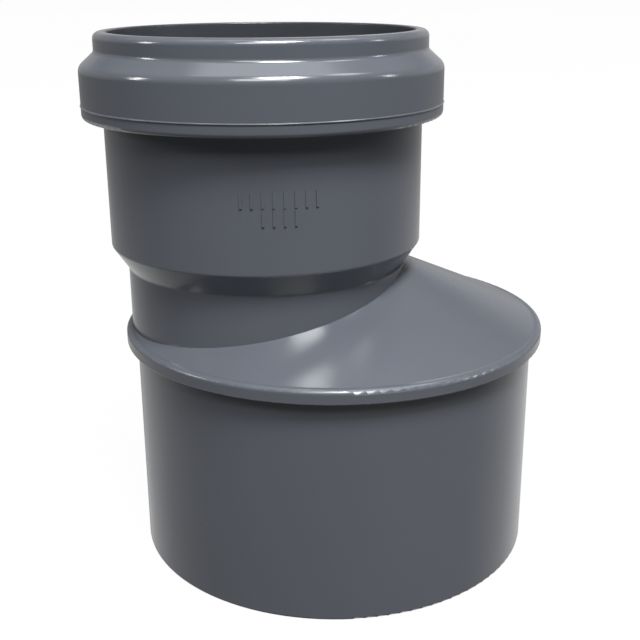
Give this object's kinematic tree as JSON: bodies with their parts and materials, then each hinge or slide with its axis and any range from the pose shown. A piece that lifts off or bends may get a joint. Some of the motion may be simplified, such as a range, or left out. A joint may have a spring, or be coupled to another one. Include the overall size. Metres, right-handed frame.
{
  "type": "eccentric pipe reducer",
  "caption": "Grey plastic waste-pipe reducer: a wide plain spigot and stop rim below, an oblique cone, and a narrower ring-seal socket set to one side above.",
  "frame": {"origin": "centre of the 110 spigot's open end, on the spigot's axis", "axes": "+Z along the spigot's axis towards the 75 socket's mouth; -X towards the side where the socket is offset"},
  "size_m": [0.1237, 0.1156, 0.1419],
  "materials": {
    "body_pvc": "satin moulded dark grey PVC-U",
    "cap_pvc": "glossy moulded dark grey PVC-U",
    "seal_rubber": "matt black EPDM with a trace of lubricant",
    "support_plastic": "matt hard plastic"
  },
  "bodies": {
    "body": {"reducer_body": "body_pvc"},
    "cap": {"seal_retaining_cap": "cap_pvc"},
    "seal": {"lip_seal": "seal_rubber", "seal_support_ring": "support_plastic"}
  },
  "joints": [
    {"name": "cap_release", "type": "slide", "parent": "body", "child": "cap", "axis": [0, 0, 1], "range_m": [0, 0.06]},
    {"name": "seal_release", "type": "slide", "parent": "body", "child": "seal", "axis": [0, 0, 1], "range_m": [0, 0.03]}
  ],
  "couplings": [
    {"joint": "seal_release", "follows": "cap_release", "ratio": 0.45}
  ]
}
